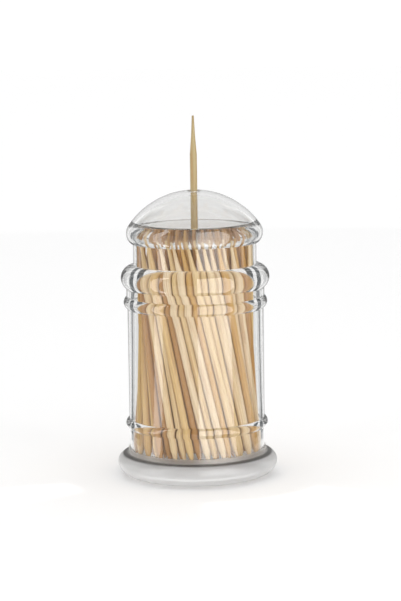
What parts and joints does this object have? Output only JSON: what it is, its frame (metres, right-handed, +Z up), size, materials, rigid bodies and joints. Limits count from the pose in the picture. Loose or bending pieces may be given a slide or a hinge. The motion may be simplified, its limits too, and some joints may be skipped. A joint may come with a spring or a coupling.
{
  "type": "toothpick holder",
  "caption": "Clear round toothpick holder with a domed cap, a collared jar on a flared foot, full of toothpicks, one of them standing in the cap's hole.",
  "frame": {"origin": "centre of the foot's underside, on the table", "axes": "+Z up, along the axis of the jar; -Y towards the side that the picture shows, +X to that side's right"},
  "size_m": [0.0478, 0.0478, 0.1074],
  "materials": {
    "clear_plastic": "clear moulded plastic with a polished surface",
    "foot_plastic": "thick clear moulded plastic, pale grey where it stands on a white table",
    "toothpick_wood": "bare birch wood, smooth, with fine grain along its length"
  },
  "bodies": {
    "holder": {"jar": "clear_plastic", "foot": "foot_plastic", "toothpick_01": "toothpick_wood", "toothpick_02": "toothpick_wood", "toothpick_03": "toothpick_wood", "toothpick_04": "toothpick_wood", "toothpick_05": "toothpick_wood", "toothpick_06": "toothpick_wood", "toothpick_07": "toothpick_wood", "toothpick_08": "toothpick_wood", "toothpick_09": "toothpick_wood", "toothpick_10": "toothpick_wood", "toothpick_11": "toothpick_wood", "toothpick_12": "toothpick_wood", "toothpick_13": "toothpick_wood", "toothpick_14": "toothpick_wood", "toothpick_15": "toothpick_wood", "toothpick_16": "toothpick_wood", "toothpick_17": "toothpick_wood", "toothpick_18": "toothpick_wood", "toothpick_19": "toothpick_wood", "toothpick_20": "toothpick_wood", "toothpick_21": "toothpick_wood", "toothpick_22": "toothpick_wood", "toothpick_23": "toothpick_wood", "toothpick_24": "toothpick_wood", "toothpick_25": "toothpick_wood", "toothpick_26": "toothpick_wood", "toothpick_27": "toothpick_wood", "toothpick_28": "toothpick_wood", "toothpick_29": "toothpick_wood", "toothpick_30": "toothpick_wood", "toothpick_31": "toothpick_wood", "toothpick_32": "toothpick_wood", "toothpick_33": "toothpick_wood", "toothpick_34": "toothpick_wood", "toothpick_35": "toothpick_wood", "toothpick_36": "toothpick_wood", "toothpick_37": "toothpick_wood", "toothpick_38": "toothpick_wood", "toothpick_39": "toothpick_wood", "toothpick_40": "toothpick_wood", "toothpick_41": "toothpick_wood", "toothpick_42": "toothpick_wood", "toothpick_43": "toothpick_wood", "toothpick_44": "toothpick_wood", "toothpick_45": "toothpick_wood", "toothpick_46": "toothpick_wood", "toothpick_47": "toothpick_wood", "toothpick_48": "toothpick_wood", "inner_toothpicks_1": "toothpick_wood", "inner_toothpicks_2": "toothpick_wood", "inner_toothpicks_3": "toothpick_wood", "inner_toothpicks_4": "toothpick_wood", "inner_toothpicks_5": "toothpick_wood"},
    "cap": {"dome_cap": "clear_plastic"},
    "drawn_toothpick": {"raised_toothpick": "toothpick_wood"}
  },
  "joints": [
    {"name": "cap_lift", "type": "slide", "parent": "holder", "child": "cap", "axis": [0, 0, 1], "range_m": [0, 0.04]},
    {"name": "toothpick_draw", "type": "slide", "parent": "holder", "child": "drawn_toothpick", "axis": [0, 0, 1], "range_m": [0, 0.045]}
  ]
}
